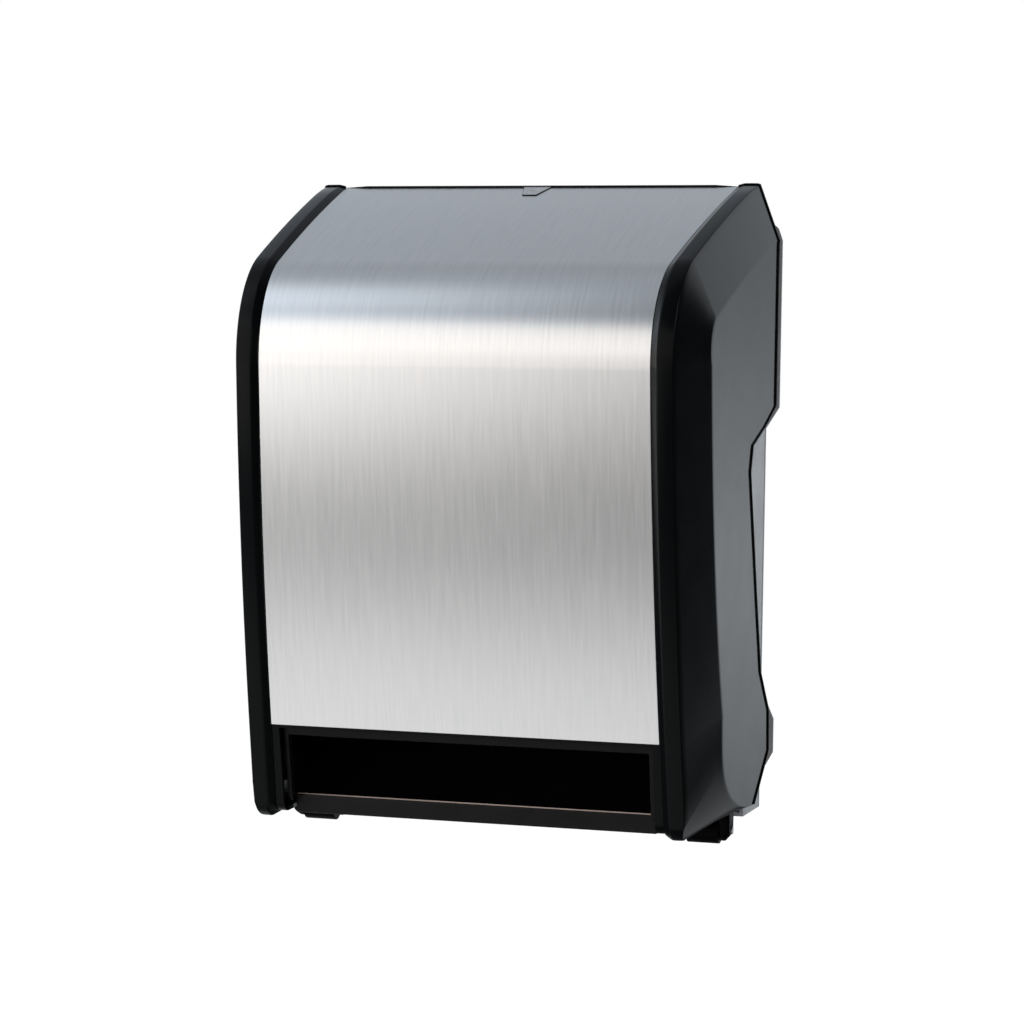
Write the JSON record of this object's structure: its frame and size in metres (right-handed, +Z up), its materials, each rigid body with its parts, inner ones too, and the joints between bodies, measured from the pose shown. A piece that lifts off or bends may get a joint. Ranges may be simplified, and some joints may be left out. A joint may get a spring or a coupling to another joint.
{
  "type": "touchless roll towel dispenser",
  "caption": "Wall-mounted touchless roll towel dispenser: black moulded cover with a brushed steel front, tip-down cover, motor-driven feed and roll arms.",
  "frame": {"origin": "centre of the four wall-screw holes, on the wall plane at the back of the housing", "axes": "+Y into the wall, so the front faces -Y; +Z up; +X to the right of someone facing the dispenser"},
  "size_m": [0.3306, 0.218, 0.4328],
  "materials": {
    "brushed_steel": "vertical brushed grain",
    "cover_black": "satin gloss black ABS",
    "trim_black": "fine matte black",
    "housing_grey": "lightly textured dark grey",
    "inner_black": "moulded matte black",
    "inner_grey": "moulded dark grey",
    "bare_steel": "plain zinc-bright steel",
    "circuit_green": "solder mask",
    "window_dark": "infrared-clear dark plastic",
    "cell_jacket": "plain jacket",
    "gear_nylon": "natural nylon",
    "pinion_brass": "cut brass",
    "roller_rubber": "ground rubber",
    "button_green": "gloss",
    "switch_white": "gloss",
    "button_red": "gloss"
  },
  "bodies": {
    "base": {"rear_housing": "housing_grey", "module_chassis": "inner_black", "module_cover": "inner_black", "control_panel": "inner_grey", "gear_cover": "inner_black", "recess_liner": "inner_black", "chute_bezel": "trim_black", "lower_lip": "trim_black", "tear_bar": "bare_steel", "paper_guide": "inner_grey", "sensor_board": "circuit_green", "sensor_window": "window_dark", "control_board": "circuit_green", "battery_case": "inner_grey", "batteries": "cell_jacket", "battery_contacts": "bare_steel", "motor": "bare_steel", "shaft_bushes": "gear_nylon", "idler_pin": "bare_steel", "hinge_knuckle_left": "trim_black", "hinge_knuckle_right": "trim_black", "hinge_pins": "bare_steel", "strike_plate": "bare_steel", "arm_pins": "bare_steel", "arm_springs": "bare_steel", "module_screws": "bare_steel", "pinch_pivots": "bare_steel"},
    "cover": {"cover_shell": "cover_black", "steel_panel": "brushed_steel", "lock_housing": "bare_steel"},
    "lock": {"lock_plug": "bare_steel", "lock_cam": "bare_steel"},
    "arm_left": {"roll_arm_left": "inner_black"},
    "arm_right": {"roll_arm_right": "inner_black"},
    "hub_left": {"roll_hub_left": "inner_grey"},
    "hub_right": {"roll_hub_right": "inner_grey"},
    "drive": {"drive_shaft": "bare_steel", "drive_roller": "roller_rubber", "drive_gear": "gear_nylon"},
    "idler": {"idler_gear": "gear_nylon"},
    "motor_rotor": {"motor_pinion": "pinion_brass"},
    "pinch_carrier": {"pinch_frame": "inner_grey"},
    "pinch": {"pinch_roller": "roller_rubber"},
    "door": {"battery_door": "inner_grey"},
    "button": {"feed_button": "button_green"},
    "length_slider": {"length_switch": "switch_white"},
    "delay_slider": {"delay_switch": "switch_white"},
    "power_rocker": {"power_switch": "button_red"}
  },
  "joints": [
    {"name": "cover_tip", "type": "hinge", "parent": "base", "child": "cover", "pos_m": [0, -0.066, -0.216], "axis": [1, 0, 0], "range_deg": [0, 95]},
    {"name": "lock_turn", "type": "hinge", "parent": "cover", "child": "lock", "pos_m": [0, -0.027, 0.2016], "axis": [0, 0.2857, -0.9583], "range_deg": [0, 90]},
    {"name": "arm_left_swing", "type": "hinge", "parent": "base", "child": "arm_left", "pos_m": [-0.118, -0.011, 0.062], "axis": [0, 0, -1], "range_deg": [0, 12], "stiffness_Nm_per_rad": 1.2, "springref_deg": -5.73},
    {"name": "arm_right_swing", "type": "hinge", "parent": "base", "child": "arm_right", "pos_m": [0.118, -0.011, 0.062], "axis": [0, 0, 1], "range_deg": [0, 12], "stiffness_Nm_per_rad": 1.2, "springref_deg": -5.73},
    {"name": "hub_left_spin", "type": "hinge", "parent": "arm_left", "child": "hub_left", "pos_m": [-0.105, -0.107, 0.062], "axis": [1, 0, 0], "continuous": true},
    {"name": "hub_right_spin", "type": "hinge", "parent": "arm_right", "child": "hub_right", "pos_m": [0.105, -0.107, 0.062], "axis": [1, 0, 0], "continuous": true},
    {"name": "drive_spin", "type": "hinge", "parent": "base", "child": "drive", "pos_m": [0, -0.112, -0.128], "axis": [1, 0, 0], "continuous": true},
    {"name": "idler_spin", "type": "hinge", "parent": "base", "child": "idler", "pos_m": [0.125, -0.08028, -0.11321], "axis": [1, 0, 0], "continuous": true},
    {"name": "rotor_spin", "type": "hinge", "parent": "base", "child": "motor_rotor", "pos_m": [0.125, -0.06055, -0.10603], "axis": [1, 0, 0], "continuous": true},
    {"name": "pinch_lift", "type": "hinge", "parent": "base", "child": "pinch_carrier", "pos_m": [0, -0.12557, -0.09454], "axis": [-1, 0, 0], "range_deg": [0, 8], "stiffness_Nm_per_rad": 0.4, "springref_deg": -17.19},
    {"name": "pinch_spin", "type": "hinge", "parent": "pinch_carrier", "child": "pinch", "pos_m": [0, -0.1336, -0.11927], "axis": [1, 0, 0], "continuous": true},
    {"name": "door_lift", "type": "hinge", "parent": "base", "child": "door", "pos_m": [0, -0.0134, -0.13155], "axis": [-1, 0, 0], "range_deg": [0, 88]},
    {"name": "feed_press", "type": "slide", "parent": "base", "child": "button", "axis": [0, 1, 0], "range_m": [0, 0.0012], "stiffness_N_per_m": 300, "springref_m": -0.001},
    {"name": "length_slide", "type": "slide", "parent": "base", "child": "length_slider", "axis": [1, 0, 0], "range_m": [-0.004, 0.004]},
    {"name": "delay_slide", "type": "slide", "parent": "base", "child": "delay_slider", "axis": [1, 0, 0], "range_m": [-0.004, 0.004]},
    {"name": "power_rock", "type": "hinge", "parent": "base", "child": "power_rocker", "pos_m": [-0.068, -0.153, -0.064], "axis": [0, 0, 1], "range_deg": [-8, 8]}
  ],
  "couplings": [
    {"joint": "idler_spin", "follows": "drive_spin", "ratio": -1.3333},
    {"joint": "rotor_spin", "follows": "drive_spin", "ratio": 3.3333},
    {"joint": "pinch_spin", "follows": "drive_spin", "ratio": -1.5556}
  ]
}
